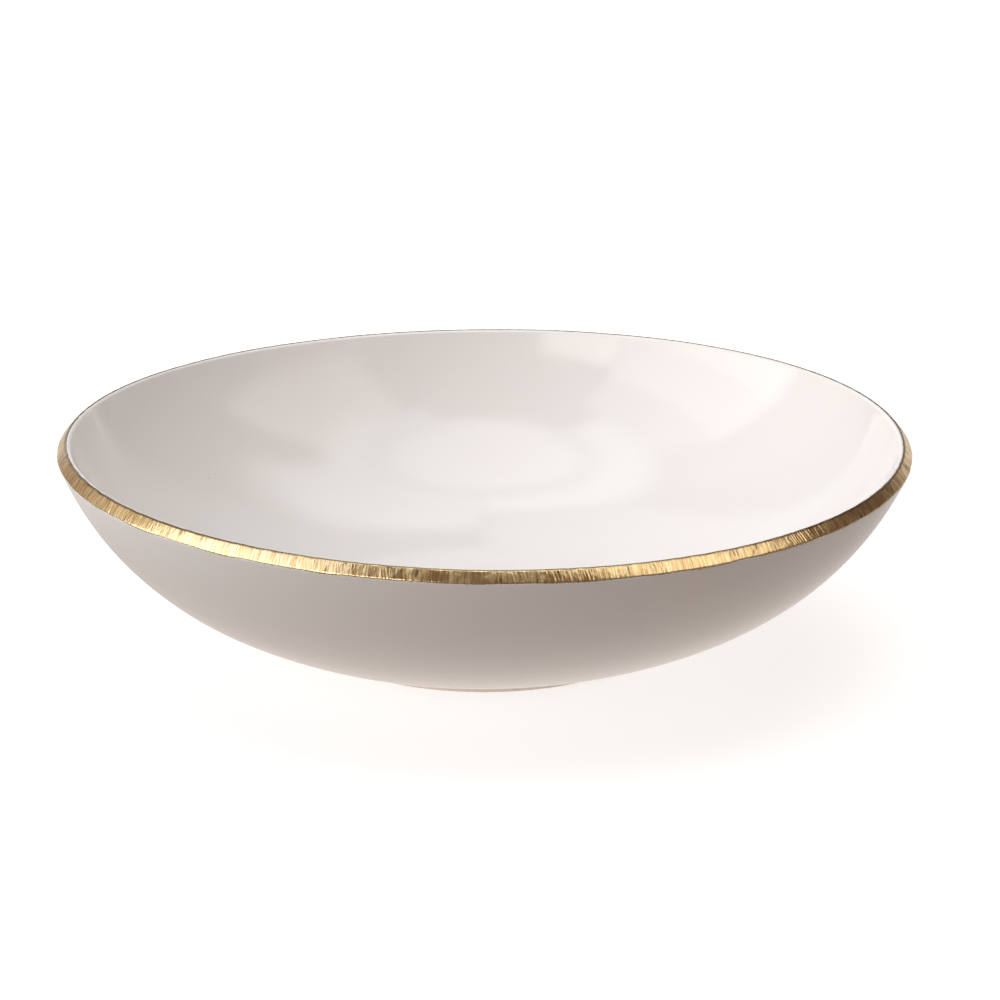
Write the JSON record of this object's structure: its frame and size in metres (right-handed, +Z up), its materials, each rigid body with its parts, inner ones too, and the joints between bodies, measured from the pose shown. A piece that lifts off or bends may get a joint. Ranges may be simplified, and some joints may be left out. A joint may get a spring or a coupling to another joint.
{
  "type": "serving bowl",
  "caption": "Wide, shallow porcelain serving bowl on a low bare foot ring, with a bevelled gold lip.",
  "frame": {"origin": "the middle of the foot ring's resting face, on the table", "axes": "+Z up out of the bowl, -Y towards the bowl's front, +X to its right seen from the front"},
  "size_m": [0.3032, 0.3066, 0.076],
  "materials": {
    "biscuit_porcelain": "matte",
    "bare_foot": "matte, finely sanded",
    "white_glaze": "glossy",
    "fired_gold": "brushed across the lip"
  },
  "bodies": {
    "root": {"porcelain_body": "biscuit_porcelain", "foot_ring": "bare_foot", "inside_glaze": "white_glaze", "outside_glaze": "white_glaze", "foot_well_glaze": "white_glaze", "gold_band": "fired_gold"}
  },
  "joints": []
}
